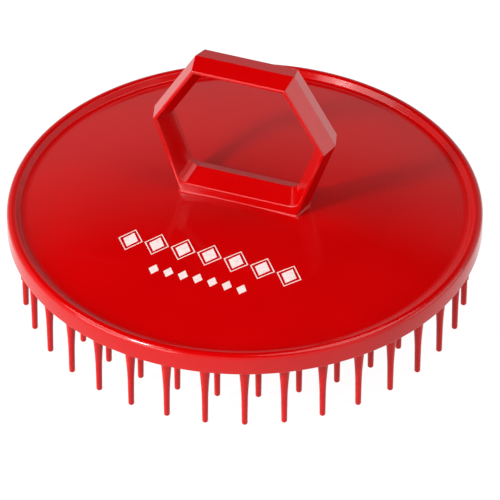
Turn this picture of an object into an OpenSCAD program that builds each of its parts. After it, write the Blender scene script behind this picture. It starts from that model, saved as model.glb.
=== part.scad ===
// Palm brush for grooming: a domed disc with a ring of soft pins below and a finger loop on top.
// Millimetres, +Z up. The origin is on the axis of the disc, in the plane of the outer pin tips.
// X runs along the width of the finger loop, Y through its depth.

/* [Disc] */
// Outside diameter of the disc
disc_d = 90; // [80:1:110]
// Radius of the sphere the deck is part of
dome_r = 206.9; // [150:0.1:400]
// Height of the crown of the deck above the outer pin tips
crown_z = 21.45; // [18:0.05:30]
// Thickness of the deck
deck_t = 1.1; // [0.8:0.1:2]
// Thickness of the web that carries the pins
mat_t = 0.8; // [0.6:0.1:2]

/* [Rim] */
// Wall of the rim band beside the mat
rim_wall = 1.6; // [1:0.1:3]
// Radius of the bead on the rim band
bead_r = 1.15; // [1:0.05:1.35]
// Height of the centre of the bead
bead_z = 17.55; // [17:0.05:20]
// Width of the rim band from the outer wall to the deck in view
rim_w = 2.8; // [2.7:0.1:5]
// Height of the bottom of the rim band, and so the length of the outer pins
rim_foot_z = 14.1; // [12:0.1:16]

/* [Pins] */
// Length of every inner pin below its seat
pin_len = 14.4; // [8:0.1:20]
// Diameter of a pin near the tip
pin_tip_d = 1.12; // [0.8:0.02:2]
// Diameter of the small flat on a tip
pin_flat_d = 0.6; // [0.3:0.05:0.8]
// Diameter of a pin where its root flare starts
pin_neck_d = 1.22; // [0.9:0.02:2]
// Diameter of a pin at its seat
pin_root_d = 2.4; // [1.4:0.05:2.4]
// Radius of the outer row of pins
outer_row_r = 42.19; // [38:0.01:44]
// Distance from one inner row of pins to the next
row_pitch = 7.32; // [6:0.01:9]

/* [Finger loop] */
// Depth of the loop, front to back
loop_depth = 7.26; // [5:0.02:12]
// Half width of the loop at its top corners
loop_top_x = 9.74; // [7:0.02:12]
// Height of the top corners
loop_top_z = 51.08; // [45:0.02:60]
// Half width of the loop at its side corners
loop_side_x = 18.01; // [14:0.01:24]
// Height of the side corners
loop_side_z = 37.12; // [32:0.02:45]
// Half width of the loop at its feet
loop_foot_x = 12.59; // [9:0.01:16]
// Height of the ridge of the bottom bar
loop_base_z = 25.2; // [23:0.1:30]
// Thickness of the loop from its outer ridge to its inner ridge
loop_t = 3.3; // [2.4:0.1:5]

/* [Hidden] */

// Colour of every moulded piece
rubber_red = [0.78, 0.03, 0.03];
// Fineness of the round surfaces in a preview
$fn = 72;
// The same for the large sphere of the dome
dome_fn = 1440;

// Radius of the whole disc
rim_r = disc_d / 2;
// Radius of the deck and the mat, which sit inside the rim band
deck_r = rim_r - rim_wall;
// Depth of the solid below a dome, more than the height of the whole disc
below_dome = 40;

// Height of the crown of the mat's underside, where the inner pins start
seat_crown_z = crown_z - deck_t - mat_t;
// Width of the thick edge of the mat, which carries the outer row of pins
flange_w = 2.8;

// Length of the rounded end of a pin
tip_round = 0.35;
// Height above the tip where the root flare starts
flare_z = 5;
// How sharply the root flare opens: 1 is a plain cone, more opens it later
flare_power = 1.7;
// Number of straight steps in the root flare
flare_steps = 5;
// Number of pins added with every row outward
pins_per_step = 6;
// Number of pins in the outer row
outer_row_pins = 36;

// How far the outer faces of the loop draw back from mid depth to the front and the back
outer_draft = 0.95;
// The same for the inner faces of the sides and the top
inner_draft = 1.7;
// The same for the inner face of the bottom bar
base_draft = 1.9;
// Leg of the small flat across the bottom corners of the opening
corner_leg = 1;
// Diameter of the pegs that hold the loop in the deck
peg_d = 4;
// Distance of the pegs from the axis
peg_x = 7;
// Length that runs past the whole loop
cut = 60;

// Height of a dome with the given crown, at distance r from the axis
function dome_z(crown, r) = crown - dome_r + sqrt(dome_r * dome_r - r * r);

// Point on the other side of the YZ plane
function mirrored(p) = [-p[0], p[1]];

// Corners of the loop at mid depth, up its right side
foot = [loop_foot_x, dome_z(crown_z, loop_foot_x)];
shoulder = [loop_side_x, loop_side_z];
crest = [loop_top_x, loop_top_z];
// Outer sides and top of the loop
loop_lines = [
    [foot, shoulder],
    [shoulder, crest],
    [crest, mirrored(crest)],
    [mirrored(crest), mirrored(shoulder)],
    [mirrored(shoulder), mirrored(foot)]
];

// Corner of the opening between the bottom bar and the right side, at mid depth
lean = (loop_side_x - loop_foot_x) / (loop_side_z - foot[1]);
corner = [
    loop_foot_x + lean * (loop_base_z - foot[1]) - loop_t * sqrt(1 + lean * lean),
    loop_base_z
];
// Ends of the flat across that corner
flat_low = corner - [corner_leg, 0];
flat_high = corner + corner_leg * [lean, 1] / sqrt(1 + lean * lean);
// Bottom of the opening
base_lines = [
    [mirrored(flat_high), mirrored(flat_low)],
    [mirrored(flat_low), flat_low],
    [flat_low, flat_high]
];

// Radius of pin row k, counted from the centre
function row_r(k) = k * row_pitch;

// Section below a dome, out to radius r
module dome_section(crown, r) {
    intersection() {
        translate([0, crown - dome_r])
            circle(r = dome_r, $fn = dome_fn);
        translate([0, crown - below_dome])
            square([r, below_dome + 1]);
    }
}

module deck() {
    color(rubber_red)
    difference() {
        rotate_extrude()
            difference() {
                dome_section(crown_z, deck_r);
                dome_section(crown_z - deck_t, deck_r + 1);
            }
        pegs();
    }
}

// Two pegs under the loop, from inside the bottom bar down past the deck
module pegs() {
    for (side = [-1, 1])
        translate([side * peg_x, 0, crown_z - 2 * deck_t])
            cylinder(d = peg_d, h = 3 * deck_t);
}

module rim_band() {
    color(rubber_red)
    rotate_extrude()
        difference() {
            union() {
                translate([rim_r - bead_r, bead_z])
                    circle(r = bead_r);
                polygon([
                    [deck_r, rim_foot_z],
                    [rim_r, rim_foot_z],
                    [rim_r, bead_z],
                    [rim_r - 2 * bead_r, bead_z],
                    [rim_r - rim_w, dome_z(crown_z, rim_r - rim_w)]
                ]);
            }
            dome_section(crown_z, deck_r);
        }
}

module pin_mat() {
    color(rubber_red)
    rotate_extrude()
        difference() {
            dome_section(crown_z - deck_t, deck_r);
            dome_section(seat_crown_z, deck_r - flange_w);
            translate([0, rim_foot_z - below_dome])
                square([deck_r + 1, below_dome]);
        }
}

// Radius of the root flare at the part t of its height, from 0 at its start to 1 at the seat
function flare_r(t) = (pin_neck_d + (pin_root_d - pin_neck_d) * pow(t, flare_power)) / 2;

// One pin with its tip at the height 0. It runs spare past its length so that a dome can cut it.
module pin(length, spare) {
    flare_h = length - flare_z;
    top = 1 + spare / flare_h;
    rotate_extrude()
        polygon(concat(
            [
                [0, 0],
                [pin_flat_d / 2, 0],
                [pin_tip_d / 2, tip_round]
            ],
            [
                for (i = [0:flare_steps])
                    let (t = top * i / flare_steps)
                    [flare_r(t), flare_z + flare_h * t]
            ],
            [
                [0, length + spare]
            ]
        ));
}

// Row of pins whose tips follow the dome
module domed_row(r, count) {
    seat_z = dome_z(seat_crown_z, r);
    intersection() {
        for (i = [0:count - 1])
            rotate([0, 0, i * 360 / count - 90])
                translate([r, 0, seat_z - pin_len])
                    pin(pin_len, 1);
        rotate_extrude()
            dome_section(seat_crown_z, deck_r);
    }
}

module centre_pin() {
    color(rubber_red)
    domed_row(0, 1);
}

module pin_row_1() {
    color(rubber_red)
    domed_row(row_r(1), pins_per_step);
}

module pin_row_2() {
    color(rubber_red)
    domed_row(row_r(2), 2 * pins_per_step);
}

module pin_row_3() {
    color(rubber_red)
    domed_row(row_r(3), 3 * pins_per_step);
}

module pin_row_4() {
    color(rubber_red)
    domed_row(row_r(4), 4 * pins_per_step);
}

module pin_row_5() {
    color(rubber_red)
    domed_row(row_r(5), 5 * pins_per_step);
}

// The outer row stands on the flat underside of the mat's thick edge
module pin_row_6() {
    color(rubber_red)
    for (i = [0:outer_row_pins - 1])
        rotate([0, 0, i * 360 / outer_row_pins - 90])
            translate([outer_row_r, 0, 0])
                pin(rim_foot_z, 0);
}

// Everything on the inner side of the line from a to b, which are points in the XZ plane.
// The face is a ridge at mid depth, inset from the line, and draws back by draft at the front and
// back of the loop. It is made reach deep each way.
module inside_of(a, b, inset, draft, reach) {
    run = b - a;
    edge = inset + draft * reach / (loop_depth / 2);
    translate([a[0], 0, a[1]])
        rotate([0, -atan2(run[1], run[0]), 0])
            rotate([90, 0, 90])
                linear_extrude(height = 2 * cut, center = true)
                    polygon([
                        [-reach, edge],
                        [0, inset],
                        [reach, edge],
                        [reach, cut],
                        [-reach, cut]
                    ]);
}

// Common space of a list of lines, each a pair of points
module inside_all(lines, inset, draft, reach) {
    intersection_for (line = lines)
        inside_of(line[0], line[1], inset, draft, reach);
}

// Opening for the fingers, with small flats across its two bottom corners
module finger_opening() {
    reach = loop_depth / 2 + 1;
    intersection() {
        inside_all(loop_lines, loop_t, -inner_draft, reach);
        inside_all(base_lines, 0, -base_draft, reach);
    }
}

module finger_loop() {
    color(rubber_red)
    union() {
        difference() {
            inside_all(loop_lines, 0, outer_draft, loop_depth / 2);
            finger_opening();
            rotate_extrude()
                dome_section(crown_z, rim_r);
        }
        difference() {
            pegs();
            rotate_extrude()
                dome_section(crown_z - deck_t, rim_r);
        }
    }
}

deck();
rim_band();
pin_mat();
finger_loop();
centre_pin();
pin_row_1();
pin_row_2();
pin_row_3();
pin_row_4();
pin_row_5();
pin_row_6();
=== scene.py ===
"""Looks of a round palm brush: domed disc, bead rim, rings of soft pins and a hexagonal finger loop.

Every size is in metres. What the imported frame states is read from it; the rest are named values here.
"""

import math

import bmesh
import bpy
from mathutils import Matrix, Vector


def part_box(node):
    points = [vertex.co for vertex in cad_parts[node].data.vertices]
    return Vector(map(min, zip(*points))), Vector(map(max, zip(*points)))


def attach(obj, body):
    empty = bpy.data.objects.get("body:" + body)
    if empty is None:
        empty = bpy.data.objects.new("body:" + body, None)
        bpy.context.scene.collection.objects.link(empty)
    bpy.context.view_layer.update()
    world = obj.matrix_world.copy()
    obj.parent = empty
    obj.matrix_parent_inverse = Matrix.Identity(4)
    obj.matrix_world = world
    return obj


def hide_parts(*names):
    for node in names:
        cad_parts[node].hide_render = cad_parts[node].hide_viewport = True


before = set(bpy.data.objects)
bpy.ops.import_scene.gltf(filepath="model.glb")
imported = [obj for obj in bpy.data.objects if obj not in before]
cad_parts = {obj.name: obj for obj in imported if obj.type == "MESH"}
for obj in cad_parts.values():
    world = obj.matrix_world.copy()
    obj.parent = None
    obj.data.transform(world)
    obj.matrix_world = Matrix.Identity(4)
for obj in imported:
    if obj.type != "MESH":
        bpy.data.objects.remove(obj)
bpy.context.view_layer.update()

MM = 0.001
# Distances below this one count as nothing: on the axis, or level with something
NEARLY_NONE = 0.01 * MM

# Sizes that the frame states
DECK_LO, DECK_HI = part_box("deck")
RIM_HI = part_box("rim_band")[1]
MAT_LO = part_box("pin_mat")[0]
LOOP_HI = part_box("finger_loop")[1]

RIM_R = RIM_HI[1]
DECK_R = DECK_HI[1]
CROWN_Z = DECK_HI[2]
BEAD_TOP_Z = RIM_HI[2]
SEAT_Z = MAT_LO[2]

# Thickness of the deck and of the web below it, and width of the web's thick edge
DECK_T = 1.1 * MM
WEB_T = 0.8 * MM
FLANGE_W = 2.8 * MM

# Radius of the dome, from how far the deck falls between its crown and its edge
FALL = CROWN_Z - DECK_T - DECK_LO[2]
DOME_R = (DECK_R ** 2 + FALL ** 2) / (2 * FALL)

# Straight steps round the disc and round one pin
DISC_STEPS = 288
PIN_STEPS = 20
# Straight steps from the axis to the edge of the disc: on the face in view, and on the hidden ones
FACE_STEPS = 56
HIDDEN_STEPS = 24

# Faces that meet at more than this angle keep a crisp edge between them
SHARP_ANGLE = math.radians(50)


def dome_z(r, below=0.0):
    """Height of the deck's surface at distance r from the axis, or of the surface that far below it."""
    return CROWN_Z - below - DOME_R + math.sqrt(DOME_R ** 2 - r ** 2)


def dome_arc(r_from, r_to, below, steps):
    """Points (r, z) along the dome from one distance from the axis to another."""
    radii = [r_from + (r_to - r_from) * i / steps for i in range(steps + 1)]
    return [(r, dome_z(r, below)) for r in radii]


def rounded(corners, steps):
    """Outline (r, z) of a polyline whose corners (r, z, radius) are rounded. The two ends stay sharp."""
    outline = []
    for i, (x, z, radius) in enumerate(corners):
        here = Vector((x, z))
        if radius == 0 or i in (0, len(corners) - 1):
            outline.append((x, z))
            continue
        before = (Vector(corners[i - 1][:2]) - here).normalized()
        after = (Vector(corners[i + 1][:2]) - here).normalized()
        half = before.angle(after) / 2
        centre = here + (before + after).normalized() * radius / math.sin(half)
        start = here + before * radius / math.tan(half) - centre
        end = here + after * radius / math.tan(half) - centre
        sweep = start.angle_signed(end)
        for k in range(steps + 1):
            a = -sweep * k / steps
            turned = Vector((start.x * math.cos(a) - start.y * math.sin(a),
                             start.x * math.sin(a) + start.y * math.cos(a)))
            outline.append(tuple(centre + turned))
    return outline


def in_scene(name, data):
    """Adds an object with this data to the scene."""
    thing = bpy.data.objects.new(name, data)
    bpy.context.scene.collection.objects.link(thing)
    return thing


def new_piece(name, bm, replaced, material, smooth=True):
    """Turns a bmesh into a piece that rides on the body and stands for these CAD nodes, if any."""
    bmesh.ops.recalc_face_normals(bm, faces=bm.faces)
    for edge in bm.edges:
        edge.smooth = edge.calc_face_angle(0.0) < SHARP_ANGLE
    mesh = bpy.data.meshes.new(name)
    bm.to_mesh(mesh)
    bm.free()
    piece = in_scene(name, mesh)
    for polygon in mesh.polygons:
        polygon.use_smooth = smooth
    mesh.materials.append(material)
    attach(piece, "root")
    if replaced:
        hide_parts(*replaced)
    return piece


def ring_of(bm, r, height, steps, x0=0.0, y0=0.0):
    """Adds one ring of points, or a single point where r is 0. height(x, y) gives their z."""
    if r < NEARLY_NONE:
        return [bm.verts.new((x0, y0, height(x0, y0)))]
    ring = []
    for i in range(steps):
        a = 2 * math.pi * i / steps
        x = x0 + r * math.cos(a)
        y = y0 + r * math.sin(a)
        ring.append(bm.verts.new((x, y, height(x, y))))
    return ring


def join_rings(bm, low, high, steps):
    """Adds the faces between two rings, one of which may be a single point."""
    for i in range(steps):
        j = (i + 1) % steps
        face = [low[i % len(low)], low[j % len(low)], high[j % len(high)], high[i % len(high)]]
        bm.faces.new(list(dict.fromkeys(face)))


def join_all(bm, rings):
    """Adds the faces between each ring and the next, and between the last and the first."""
    for ring, following in zip(rings, rings[1:] + rings[:1]):
        join_rings(bm, ring, following, len(ring))


def spin(bm, outline):
    """Adds the solid that a closed outline (r, z) sweeps round the Z axis.

    An outline that starts and ends on the axis closes there. Any other closes on itself.
    """
    rings = [ring_of(bm, r, lambda x, y, z=z: z, DISC_STEPS) for r, z in outline]
    for low, high in zip(rings, rings[1:]):
        join_rings(bm, low, high, DISC_STEPS)
    if len(rings[0]) > 1 and len(rings[-1]) > 1:
        join_rings(bm, rings[-1], rings[0], DISC_STEPS)


# ---------------------------------------------------------------------------------------------
# Materials
# ---------------------------------------------------------------------------------------------

# Noise scales of the rubber: the larger, the finer the pattern
CLOUD_SCALE = 55.0
FLECK_SCALE = 2600.0
WEAR_SCALE = 420.0
SMUDGE_SCALE = 120.0
HAIR_SCALE = 900.0
SINK_SCALE = 70.0
GRAIN_SCALE = 2200.0
# How little the noise of the hair scratches varies along them
HAIR_STRETCH = 0.02
# Most depth of the sink marks, the grain and the hair scratches
SINK_DEPTH = 0.03 * MM
GRAIN_DEPTH = 0.004 * MM
HAIR_DEPTH = 0.003 * MM
# Noise scales of the ink: its cover, its gloss and its face
INK_COVER_SCALE = 1500.0
INK_GLOSS_SCALE = 600.0
INK_FACE_SCALE = 2400.0
INK_FACE_DEPTH = 0.006 * MM
# Noise scales of the floor, and its own brightness, which keeps it white under the soft lights
FLOOR_MOTTLE_SCALE = 6.0
FLOOR_GLOSS_SCALE = 30.0
FLOOR_GLOW = 0.95


def linear(r, g, b):
    """Linear colour of an sRGB colour given in 0 to 255."""
    def one(c):
        c = c / 255
        return c / 12.92 if c <= 0.04045 else ((c + 0.055) / 1.055) ** 2.4
    return (one(r), one(g), one(b), 1.0)


def grey(level):
    """Plain grey of a linear brightness."""
    return (level, level, level, 1.0)


# Two shades of each material, and the shade of rubber that is worn
TOP_DEEP, TOP_PALE = linear(172, 0, 1), linear(180, 1, 2)
PIN_DEEP, PIN_PALE = linear(172, 5, 5), linear(180, 9, 8)
WORN_RED = linear(226, 40, 34)
INK_THIN, INK_FULL = linear(212, 190, 188), linear(222, 204, 201)
FLOOR_DARK, FLOOR_LIGHT = linear(88, 88, 88), linear(94, 94, 94)


class Nodes:
    """Short way to build the node tree of one material."""

    def __init__(self, name):
        self.material = bpy.data.materials.new(name)
        self.material.use_nodes = True
        self.tree = self.material.node_tree
        self.shader = self.tree.nodes["Principled BSDF"]
        self.place = self.add("ShaderNodeTexCoord").outputs["Object"]

    def add(self, kind, **values):
        """New node of this kind with these settings."""
        node = self.tree.nodes.new(kind)
        for key, value in values.items():
            setattr(node, key, value)
        return node

    def link(self, source, target):
        """Wire from an output to an input."""
        self.tree.links.new(source, target)

    def noise(self, scale, detail=2.0, rough=0.5, distortion=0.0, place=None):
        """Noise from 0 to 1, at the object's own coordinates or at another place."""
        node = self.add("ShaderNodeTexNoise")
        self.link(place or self.place, node.inputs["Vector"])
        node.inputs["Scale"].default_value = scale
        node.inputs["Detail"].default_value = detail
        node.inputs["Roughness"].default_value = rough
        node.inputs["Distortion"].default_value = distortion
        return node.outputs["Fac"]

    def stretched(self, x, y, z, turn):
        """The object's own coordinates, turned about Z and stretched."""
        node = self.add("ShaderNodeMapping")
        self.link(self.place, node.inputs["Vector"])
        node.inputs["Rotation"].default_value = (0.0, 0.0, turn)
        node.inputs["Scale"].default_value = (x, y, z)
        return node.outputs["Vector"]

    def spread(self, value, low, high, to_low=0.0, to_high=1.0):
        """The value between low and high, spread over another range and held to it."""
        node = self.add("ShaderNodeMapRange")
        self.link(value, node.inputs["Value"])
        node.inputs["From Min"].default_value = low
        node.inputs["From Max"].default_value = high
        node.inputs["To Min"].default_value = to_low
        node.inputs["To Max"].default_value = to_high
        return node.outputs["Result"]

    def math(self, operation, a, b):
        """Sum, product or the like of two values, either of which may be a plain number."""
        node = self.add("ShaderNodeMath", operation=operation)
        for socket, value in zip(node.inputs, (a, b)):
            if isinstance(value, (int, float)):
                socket.default_value = value
            else:
                self.link(value, socket)
        return node.outputs["Value"]

    def blend(self, factor, a, b):
        """Colour between a and b, either of which may be a plain colour."""
        node = self.add("ShaderNodeMix", data_type="RGBA")
        self.link(factor, node.inputs["Factor"])
        for name, value in (("A", a), ("B", b)):
            socket = next(i for i in node.inputs if i.name == name and i.type == "RGBA")
            if isinstance(value, tuple):
                socket.default_value = value
            else:
                self.link(value, socket)
        return next(o for o in node.outputs if o.type == "RGBA")

    def bump(self, height, strength, distance, below=None):
        """Surface raised by the height, on top of the bump below it."""
        node = self.add("ShaderNodeBump")
        node.inputs["Strength"].default_value = strength
        node.inputs["Distance"].default_value = distance
        self.link(height, node.inputs["Height"])
        if below is not None:
            self.link(below, node.inputs["Normal"])
        return node.outputs["Normal"]


def red_rubber(name, deep, pale, roughness, waviness, soft=0.0, gloss=0.5):
    """Moulded red rubber: faintly cloudy, with sink marks, fine grain, hair scratches and worn edges.

    roughness is its mean, waviness scales the sink marks, soft is how much light goes in, gloss how much
    comes off the face.
    """
    n = Nodes(name)
    cloud = n.spread(n.noise(CLOUD_SCALE, detail=3.0), 0.35, 0.65, 0.0, 0.7)
    fleck = n.spread(n.noise(FLECK_SCALE, detail=1.0), 0.62, 0.8, 0.0, 0.3)
    colour = n.blend(n.math("ADD", cloud, fleck), deep, pale)

    # Edges and corners that hands rub are a little paler and duller
    pointiness = n.add("ShaderNodeNewGeometry").outputs["Pointiness"]
    edge = n.spread(pointiness, 0.52, 0.6)
    patchy = n.spread(n.noise(WEAR_SCALE, detail=4.0), 0.45, 0.65)
    worn = n.math("MULTIPLY", edge, patchy)
    colour = n.blend(n.math("MULTIPLY", worn, 0.25), colour, WORN_RED)
    n.link(colour, n.shader.inputs["Base Color"])

    # Smudges and two sets of hair scratches change the gloss
    smudge = n.noise(SMUDGE_SCALE, detail=5.0, rough=0.62, distortion=0.6)
    along_x = n.noise(HAIR_SCALE, place=n.stretched(1.0, HAIR_STRETCH, HAIR_STRETCH, turn=0.5))
    along_y = n.noise(HAIR_SCALE, place=n.stretched(HAIR_STRETCH, 1.0, HAIR_STRETCH, turn=0.2))
    hairs = n.math("MAXIMUM", n.spread(along_x, 0.7, 0.76), n.spread(along_y, 0.7, 0.76))
    rough = n.spread(smudge, 0.3, 0.75, roughness * 0.75, roughness * 1.35)
    rough = n.math("ADD", rough, n.math("MULTIPLY", hairs, 0.07))
    rough = n.math("ADD", rough, n.math("MULTIPLY", worn, 0.08))
    n.link(rough, n.shader.inputs["Roughness"])

    sink = n.bump(n.noise(SINK_SCALE, detail=1.0), 1.0, SINK_DEPTH * waviness)
    grain = n.bump(n.noise(GRAIN_SCALE, detail=3.0), 0.25, GRAIN_DEPTH, below=sink)
    scratch = n.bump(hairs, 0.25, -HAIR_DEPTH, below=grain)
    n.link(scratch, n.shader.inputs["Normal"])

    n.shader.inputs["IOR"].default_value = 1.4
    n.shader.inputs["Specular IOR Level"].default_value = gloss
    n.shader.inputs["Subsurface Weight"].default_value = soft
    n.shader.inputs["Subsurface Radius"].default_value = (1.0, 0.08, 0.06)
    n.shader.inputs["Subsurface Scale"].default_value = 0.8 * MM
    return n.material


def white_ink():
    """Pad-printed ink: thin, slightly uneven cover with a matt face."""
    n = Nodes("white_ink")
    cover = n.spread(n.noise(INK_COVER_SCALE, detail=3.0), 0.38, 0.6)
    n.link(n.blend(cover, INK_THIN, INK_FULL), n.shader.inputs["Base Color"])
    n.link(n.spread(n.noise(INK_GLOSS_SCALE), 0.3, 0.7, 0.42, 0.6), n.shader.inputs["Roughness"])
    n.link(n.bump(n.noise(INK_FACE_SCALE), 0.3, INK_FACE_DEPTH), n.shader.inputs["Normal"])
    return n.material


def floor_paint():
    """Plain pale floor with a faint mottle."""
    n = Nodes("pale_floor")
    mottle = n.noise(FLOOR_MOTTLE_SCALE, detail=3.0)
    n.link(n.blend(mottle, FLOOR_DARK, FLOOR_LIGHT), n.shader.inputs["Base Color"])
    n.link(n.spread(n.noise(FLOOR_GLOSS_SCALE), 0.3, 0.7, 0.7, 0.85), n.shader.inputs["Roughness"])
    n.shader.inputs["Specular IOR Level"].default_value = 0.0
    n.shader.inputs["Emission Color"].default_value = (1.0, 1.0, 1.0, 1.0)
    n.shader.inputs["Emission Strength"].default_value = FLOOR_GLOW
    return n.material


# ---------------------------------------------------------------------------------------------
# Pieces
# ---------------------------------------------------------------------------------------------

# Bead: round of its outer edge, how far its brow lies in from the outside and below its top, and its round
BEAD_ROUND = 1.15 * MM
BROW_IN = 1.72 * MM
BROW_DROP = 0.4 * MM
BROW_ROUND = 0.22 * MM
# How far the outer edge's corner stands over the bead's top before it is rounded
BEAD_OVER = 0.22 * MM
# Foot of the bead's inner slope: how far in, how high over the deck, and its round
FOOT_IN = 2.52 * MM
FOOT_LIFT = 0.3 * MM
FOOT_ROUND = 0.25 * MM
# Trough between that foot and the deck: where it ends, and how far it stands over the deck there
TROUGH_IN = 3.9 * MM
TROUGH_EDGE = 0.004 * MM
TROUGH_STEPS = 10
# Round of the bottom edge of the rim, and straight steps in each round and under the trough
RIM_FOOT_ROUND = 0.25 * MM
RIM_ROUND_STEPS = 12
UNDER_TROUGH_STEPS = 4


def deck(material):
    """Domed top disc."""
    bm = bmesh.new()
    spin(bm, dome_arc(0.0, DECK_R, 0.0, FACE_STEPS) + dome_arc(DECK_R, 0.0, DECK_T, HIDDEN_STEPS))
    new_piece("deck_disc", bm, ["deck"], material)


def rim_band(material):
    """Bead ring with a rounded outer edge and a sloping inner wall that runs out in a shallow trough."""
    trough_r = RIM_R - TROUGH_IN
    trough = []
    for k in range(TROUGH_STEPS + 1):
        t = 1 - k / TROUGH_STEPS
        r = trough_r + (TROUGH_IN - FOOT_IN) * t
        trough.append((r, dome_z(r) + TROUGH_EDGE + FOOT_LIFT * t * t))
    # The round of the foot takes in the first steps of the trough
    outline = rounded([
        (DECK_R, SEAT_Z, 0),
        (RIM_R, SEAT_Z, RIM_FOOT_ROUND),
        (RIM_R, BEAD_TOP_Z + BEAD_OVER, BEAD_ROUND),
        (RIM_R - BROW_IN, BEAD_TOP_Z - BROW_DROP, BROW_ROUND),
        (*trough[0], FOOT_ROUND),
        (*trough[2], 0)
    ], RIM_ROUND_STEPS)
    outline += trough[3:] + dome_arc(trough_r, DECK_R, 0.0, UNDER_TROUGH_STEPS)
    bm = bmesh.new()
    spin(bm, outline)
    new_piece("rim_bead", bm, ["rim_band"], material)


def pin_mat(material):
    """Soft web under the deck, with the thick edge that carries the outer row."""
    inner_r = DECK_R - FLANGE_W
    outline = dome_arc(0.0, DECK_R, DECK_T, HIDDEN_STEPS)
    outline += [(DECK_R, SEAT_Z), (inner_r, SEAT_Z)]
    outline += dome_arc(inner_r, 0.0, DECK_T + WEB_T, HIDDEN_STEPS)
    bm = bmesh.new()
    spin(bm, outline)
    new_piece("pin_web", bm, ["pin_mat"], material)


# Half widths of a pin, from its tip up
PIN_FLAT_R = 0.3 * MM
PIN_TIP_R = 0.56 * MM
PIN_NECK_R = 0.61 * MM
PIN_ROOT_R = 1.2 * MM
# Height of the round end, height where the root flare starts, and how sharply it opens
TIP_ROUND = 0.36 * MM
FLARE_Z = 5.0 * MM
FLARE_POWER = 1.7
# Straight steps in the round end and in the flare
TIP_STEPS = 5
FLARE_STEPS = 14
# Rows of pins round the centre pin, and how many more pins each has than the row inside it
PIN_ROWS = 6
PINS_PER_ROW = 6


def pin_outline(length):
    """Half widths and heights (r, z) of one pin from its tip to its seat."""
    outline = [(0.0, 0.0)]
    for k in range(TIP_STEPS + 1):
        a = math.pi / 2 * k / TIP_STEPS
        r = PIN_FLAT_R + (PIN_TIP_R - PIN_FLAT_R) * math.sin(a)
        outline.append((r, TIP_ROUND * (1 - math.cos(a))))
    for k in range(FLARE_STEPS + 1):
        t = k / FLARE_STEPS
        r = PIN_NECK_R + (PIN_ROOT_R - PIN_NECK_R) * t ** FLARE_POWER
        outline.append((r, FLARE_Z + (length - FLARE_Z) * t))
    return outline


def add_pin(bm, x, y, tip_z, seat):
    """Adds one pin that stands on its tip at (x, y, tip_z) and ends on the surface seat(x, y)."""
    outline = pin_outline(seat(x, y) - tip_z)
    rings = [
        ring_of(bm, r, lambda px, py, z=z: tip_z + z, PIN_STEPS, x, y)
        for r, z in outline[:-1]
    ]
    rings.append(ring_of(bm, PIN_ROOT_R, seat, PIN_STEPS, x, y))
    rings.append(ring_of(bm, 0.0, seat, PIN_STEPS, x, y))
    for low, high in zip(rings, rings[1:]):
        join_rings(bm, low, high, PIN_STEPS)


def pin_row(node, count, material):
    """One ring of pins. Its radius and the height of its tips come from the CAD node."""
    low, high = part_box(node)
    r = max(0.0, -low[1] - PIN_ROOT_R)
    flat_seat = abs(high[2] - SEAT_Z) < NEARLY_NONE

    def seat(x, y):
        return SEAT_Z if flat_seat else dome_z(math.hypot(x, y), DECK_T + WEB_T)

    bm = bmesh.new()
    for i in range(count):
        a = 2 * math.pi * i / count - math.pi / 2
        add_pin(bm, r * math.cos(a), r * math.sin(a), low[2], seat)
    new_piece(node.replace("row", "ring") + "_soft", bm, [node], material)


# The finger loop's corners (x, z) at mid depth, as in the design
LOOP_SIDE = Vector((LOOP_HI[0], 37.12 * MM))
LOOP_TOP = Vector((9.74 * MM, LOOP_HI[2]))
LOOP_FOOT_X = 12.59 * MM
LOOP_FOOT = Vector((LOOP_FOOT_X, dome_z(LOOP_FOOT_X)))
# Height of the bottom bar's ridge, thickness of the loop from ridge to ridge, and half its depth
LOOP_BASE_Z = 25.2 * MM
LOOP_T = 3.3 * MM
LOOP_HALF = LOOP_HI[1]
# How far the faces draw back from mid depth to the front and the back
OUTER_DRAFT = 0.95 * MM
INNER_DRAFT = 1.7 * MM
BASE_DRAFT = 1.9 * MM
# How far the loop reaches down into the deck
LOOP_ROOT = 0.9 * MM
# Rounds on the loop: along its edges, along its ridges, at its corners, and in the opening's bottom corners
EDGE_ROUND = 0.28 * MM
RIDGE_ROUND = 0.3 * MM
CORNER_ROUND = 0.18 * MM
OPENING_ROUND = 2.2 * MM
# Fillet round the foot: its radius, and how far it reaches into the loop and the deck
FILLET_R = 0.45 * MM
FILLET_ROOT = 0.12 * MM
# Straight steps in the rounds of the section, in those of the outline and of the foot, and in the fillet
SECTION_STEPS = 6
OUTLINE_STEPS = 8
FOOT_STEPS = 4
FILLET_STEPS = 6
# How strongly the large flat faces hold the shading flat beside the rounds
FLAT_WEIGHT = 60


def inset_corner(before, here, after, inset):
    """Corner of a polyline in the XZ plane, moved in by one distance off each of its two sides."""
    d1 = (here - before).normalized()
    d2 = (after - here).normalized()
    a = here + Vector((-d1.y, d1.x)) * inset
    b = here + Vector((-d2.y, d2.x)) * inset
    cross = d1.x * d2.y - d1.y * d2.x
    t = ((b - a).x * d2.y - (b - a).y * d2.x) / cross
    return a + d1 * t


def loop_section():
    """Cross-section of the loop as (inset from the outer ridge, depth), from the front face round.

    Each point also says whether it belongs to the inner side, which follows the opening.
    """
    near_outer, near_inner = OUTER_DRAFT, LOOP_T - INNER_DRAFT
    middle = (near_outer + near_inner) / 2
    points = rounded([
        (middle, -LOOP_HALF, 0),
        (near_inner, -LOOP_HALF, EDGE_ROUND),
        (LOOP_T, 0.0, RIDGE_ROUND),
        (near_inner, LOOP_HALF, EDGE_ROUND),
        (near_outer, LOOP_HALF, EDGE_ROUND),
        (0.0, 0.0, RIDGE_ROUND),
        (near_outer, -LOOP_HALF, EDGE_ROUND),
        (middle, -LOOP_HALF, 0)
    ], SECTION_STEPS)[1:-1]
    return [(inset, y, k < len(points) / 2) for k, (inset, y) in enumerate(points)]


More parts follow.
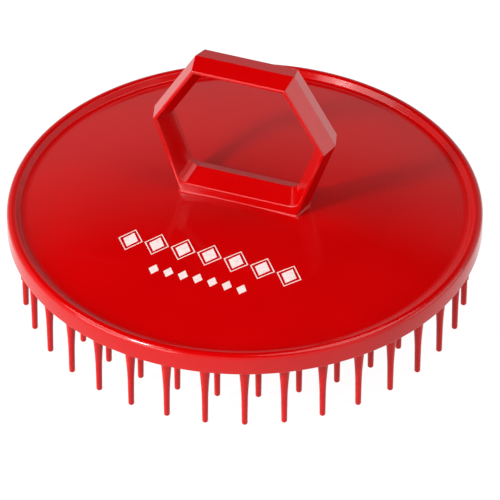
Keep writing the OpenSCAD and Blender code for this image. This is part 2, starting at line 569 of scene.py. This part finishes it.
def loop_outline(inset, inner):
    """Right half of the loop's outline at one inset, from the bottom up.

    The inner side turns into the bottom bar with a large round; the outer side runs into the deck.
    """
    foot_run = (LOOP_SIDE - LOOP_FOOT).normalized()
    start = LOOP_FOOT + Vector((-foot_run.y, foot_run.x)) * inset
    mirrored_top = Vector((-LOOP_TOP.x, LOOP_TOP.y))
    shoulder = inset_corner(LOOP_FOOT, LOOP_SIDE, LOOP_TOP, inset)
    crest = inset_corner(LOOP_SIDE, LOOP_TOP, mirrored_top, inset)
    if inner:
        low_z = LOOP_BASE_Z - (LOOP_T - inset) * BASE_DRAFT / INNER_DRAFT
        low_round = OPENING_ROUND
    else:
        low_z = LOOP_FOOT.y - LOOP_ROOT
        low_round = 2 * CORNER_ROUND
    corner = start + foot_run * ((low_z - start.y) / foot_run.y)
    return [Vector(p) for p in rounded([
        (0.0, low_z, 0),
        (corner.x, corner.y, low_round),
        (shoulder.x, shoulder.y, CORNER_ROUND),
        (crest.x, crest.y, CORNER_ROUND),
        (0.0, crest.y, 0)
    ], OUTLINE_STEPS)[1:-1]]


def add_foot_fillet(bm):
    """Adds the small fillet between the foot of the loop and the deck, as a ring round the foot."""
    edge_x = LOOP_FOOT.x - OUTER_DRAFT
    half = [Vector(p) for p in rounded([
        (0.0, -LOOP_HALF, 0),
        (edge_x, -LOOP_HALF, CORNER_ROUND),
        (LOOP_FOOT.x, 0.0, RIDGE_ROUND),
        (edge_x, LOOP_HALF, CORNER_ROUND),
        (0.0, LOOP_HALF, 0)
    ], FOOT_STEPS)[1:-1]]
    foot = half + [Vector((-p.x, -p.y)) for p in half]
    # Section of the fillet as (distance out of the foot, height over the deck)
    section = [(-FILLET_ROOT, FILLET_R)]
    for k in range(FILLET_STEPS + 1):
        a = math.pi / 2 * k / FILLET_STEPS
        section.append((FILLET_R * (1 - math.cos(a)), FILLET_R * (1 - math.sin(a))))
    section += [(FILLET_R, -FILLET_ROOT), (-FILLET_ROOT, -FILLET_ROOT)]
    rings = []
    for out, up in section:
        ring = []
        for i, here in enumerate(foot):
            along = (foot[(i + 1) % len(foot)] - foot[i - 1]).normalized()
            point = here + Vector((along.y, -along.x)) * out
            ring.append(bm.verts.new((point.x, point.y, dome_z(point.length) + up)))
        rings.append(ring)
    join_all(bm, rings)


def finger_loop(material):
    """Hexagonal ring with doubly sloped faces, softened edges and a fillet round its foot."""
    bm = bmesh.new()
    runs = []
    for inset, y, inner in loop_section():
        half = loop_outline(inset, inner)
        whole = half + [Vector((-p.x, p.y)) for p in reversed(half)]
        runs.append([bm.verts.new((p.x, y, p.y)) for p in whole])
    join_all(bm, runs)
    add_foot_fillet(bm)
    piece = new_piece("finger_loop_ring", bm, ["finger_loop"], material)
    flat = piece.modifiers.new("flat_faces_stay_flat", "WEIGHTED_NORMAL")
    flat.weight = FLAT_WEIGHT


# Ink: how far its low side lies in the deck and its face stands over it, and straight steps along a side
INK_ROOT = 0.01 * MM
INK_RISE = 0.02 * MM
INK_STEPS = 6
# Points closer together than this are one point
SAME_POINT = 1e-8

# Both rows of the ornament have this many diamonds on each side of the middle one
DIAMONDS_BESIDE = 3
# Large diamonds: place of the row, spacing, half widths, width of the line, and margin round the middle
BIG_Y = -19.2 * MM
BIG_SPACING = 5.25 * MM
BIG_HALF_X = 2.45 * MM
BIG_HALF_Y = 2.9 * MM
LINE_W = 0.27 * MM
MIDDLE_MARGIN = 3.6 * LINE_W
# Small diamonds: place of the row, spacing and half widths
SMALL_Y = -25.6 * MM
SMALL_SPACING = 2.9 * MM
SMALL_HALF_X = 1.0 * MM
SMALL_HALF_Y = 1.3 * MM


def diamond(x, y, half_x, half_y):
    """Corners of a diamond."""
    return [(x + half_x, y), (x, y + half_y), (x - half_x, y), (x, y - half_y)]


def add_ink(bm, outer, hole=None):
    """Adds one thin printed shape on the dome: a filled outline, or the band between two outlines."""
    inner = hole or [tuple(sum(c) / len(outer) for c in zip(*outer))] * len(outer)

    def along(points):
        run = []
        for a, b in zip(points, points[1:] + points[:1]):
            for k in range(INK_STEPS):
                t = k / INK_STEPS
                run.append((a[0] + (b[0] - a[0]) * t, a[1] + (b[1] - a[1]) * t))
        return run

    rings = []
    for points, lift in ((outer, -INK_ROOT), (outer, INK_RISE), (inner, INK_RISE), (inner, -INK_ROOT)):
        rings.append([bm.verts.new((x, y, dome_z(math.hypot(x, y)) + lift)) for x, y in along(points)])
    join_all(bm, rings)


def printed_ornament(material):
    """Plain white ornament in front of the loop: a row of outlined diamonds over a row of small ones."""
    bm = bmesh.new()
    for i in range(-DIAMONDS_BESIDE, DIAMONDS_BESIDE + 1):
        x = i * BIG_SPACING
        outer, hole, middle = (
            diamond(x, BIG_Y, BIG_HALF_X - margin, BIG_HALF_Y - margin)
            for margin in (0.0, LINE_W, MIDDLE_MARGIN)
        )
        add_ink(bm, outer, hole)
        add_ink(bm, middle)
        add_ink(bm, diamond(i * SMALL_SPACING, SMALL_Y, SMALL_HALF_X, SMALL_HALF_Y))
    bmesh.ops.remove_doubles(bm, verts=bm.verts, dist=SAME_POINT)
    new_piece("printed_ornament", bm, None, material, smooth=False)


# ---------------------------------------------------------------------------------------------
# Stage, light and camera
# ---------------------------------------------------------------------------------------------

# Half the side of the floor, and how far it lies below the pin tips
FLOOR_HALF = 6.0
FLOOR_GAP = 0.01 * MM

# Brightness of the room against height, where 0 is the horizon and 1 is straight up
ROOM_LEVELS = ((0.0, 0.45), (0.18, 0.85), (0.45, 0.85), (0.7, 0.02))
# Direction of the room's bright side, and how much the walls there and opposite are brightened or dimmed
BRIGHT_SIDE = (0.8, -0.6, 0.0)
BRIGHT_WALL = 1.15
DIM_WALL = 0.5

# Soft lights: azimuth and elevation in degrees, distance, width and height in metres, power in watts
LIGHTS = {
    "key": (-30, 34, 1.6, 0.22, 0.22, 15.5),
    "front_panel": (-33, 11, 1.7, 1.45, 0.8, 18.0),
    "left_panel": (-49, 44, 1.7, 1.3, 0.7, 11.5),
    "right_panel": (112, 4, 1.8, 1.2, 0.6, 5.0),
    "top_panel": (95, 64, 1.7, 1.2, 1.2, 13.5)
}

# Camera: its place, the point it looks at, its lens and its sensor in millimetres, and its clipping range
CAMERA_PLACE = Vector((0.2912, -0.7970, 0.6913))
CAMERA_AIM = Vector((-0.0003, 0.0037, 0.0044))
CAMERA_LENS = 412.6
CAMERA_SENSOR = 36.0
CAMERA_NEAR, CAMERA_FAR = 0.01, 50.0


def toward(azimuth, elevation, distance):
    """Place at that distance from the origin. Azimuth 0 is in front, 90 to the right, in degrees."""
    a, e = math.radians(azimuth), math.radians(elevation)
    return Vector((math.sin(a) * math.cos(e), -math.cos(a) * math.cos(e), math.sin(e))) * distance


def area_light(name, azimuth, elevation, distance, width, height, power):
    """Rectangular soft light that faces the origin."""
    data = bpy.data.lights.new(name, "AREA")
    data.shape = "RECTANGLE"
    data.size = width
    data.size_y = height
    data.energy = power
    light = in_scene(name, data)
    light.location = toward(azimuth, elevation, distance)
    light.rotation_euler = light.location.to_track_quat("Z", "Y").to_euler()


def floor(material):
    """Pale floor under the pin tips."""
    corners = ((-1, -1), (1, -1), (1, 1), (-1, 1))
    bm = bmesh.new()
    bm.faces.new([bm.verts.new((x * FLOOR_HALF, y * FLOOR_HALF, 0.0)) for x, y in corners])
    mesh = bpy.data.meshes.new("floor")
    bm.to_mesh(mesh)
    bm.free()
    mesh.materials.append(material)
    plane = in_scene("floor", mesh)
    plane.location.z = -FLOOR_GAP


def studio_air():
    """Soft light from all round: pale walls, brighter on one side, under a dark ceiling."""
    world = bpy.data.worlds.new("studio")
    bpy.context.scene.world = world
    world.use_nodes = True
    nodes, links = world.node_tree.nodes, world.node_tree.links
    direction = nodes.new("ShaderNodeTexCoord").outputs["Generated"]
    background = nodes["Background"]

    split = nodes.new("ShaderNodeSeparateXYZ")
    links.new(direction, split.inputs["Vector"])
    ramp = nodes.new("ShaderNodeValToRGB")
    stops = ramp.color_ramp.elements
    lowest, *between, highest = ROOM_LEVELS
    stops[0].position, stops[1].position = lowest[0], highest[0]
    stops[0].color, stops[1].color = grey(lowest[1]), grey(highest[1])
    for height, level in between:
        stops.new(height).color = grey(level)
    links.new(split.outputs["Z"], ramp.inputs["Fac"])
    links.new(ramp.outputs["Color"], background.inputs["Color"])

    toward_bright = nodes.new("ShaderNodeVectorMath")
    toward_bright.operation = "DOT_PRODUCT"
    toward_bright.inputs[1].default_value = BRIGHT_SIDE
    links.new(direction, toward_bright.inputs[0])
    walls = nodes.new("ShaderNodeMapRange")
    walls.inputs["From Min"].default_value = -1.0
    walls.inputs["From Max"].default_value = 1.0
    walls.inputs["To Min"].default_value = DIM_WALL
    walls.inputs["To Max"].default_value = BRIGHT_WALL
    links.new(toward_bright.outputs["Value"], walls.inputs["Value"])
    links.new(walls.outputs["Result"], background.inputs["Strength"])


def camera():
    """Camera with a long lens, in front of the brush, above it and a little to the right."""
    data = bpy.data.cameras.new("camera")
    data.lens = CAMERA_LENS
    data.sensor_width = CAMERA_SENSOR
    data.clip_start, data.clip_end = CAMERA_NEAR, CAMERA_FAR
    eye = in_scene("camera", data)
    eye.location = CAMERA_PLACE
    eye.rotation_euler = (CAMERA_PLACE - CAMERA_AIM).to_track_quat("Z", "Y").to_euler()
    bpy.context.scene.camera = eye


top_red = red_rubber("top_red_rubber", TOP_DEEP, TOP_PALE, 0.12, waviness=0.4)
pin_red = red_rubber("pin_red_rubber", PIN_DEEP, PIN_PALE, 0.22, waviness=0.2, soft=0.1, gloss=0.3)

deck(top_red)
rim_band(top_red)
pin_mat(pin_red)
finger_loop(top_red)
printed_ornament(white_ink())
pin_row("centre_pin", 1, pin_red)
for row in range(1, PIN_ROWS + 1):
    pin_row(f"pin_row_{row}", PINS_PER_ROW * row, pin_red)

floor(floor_paint())
studio_air()
for light_name, settings in LIGHTS.items():
    area_light(light_name, *settings)
camera()
bpy.context.scene.view_settings.view_transform = "Standard"

bpy.context.view_layer.update()
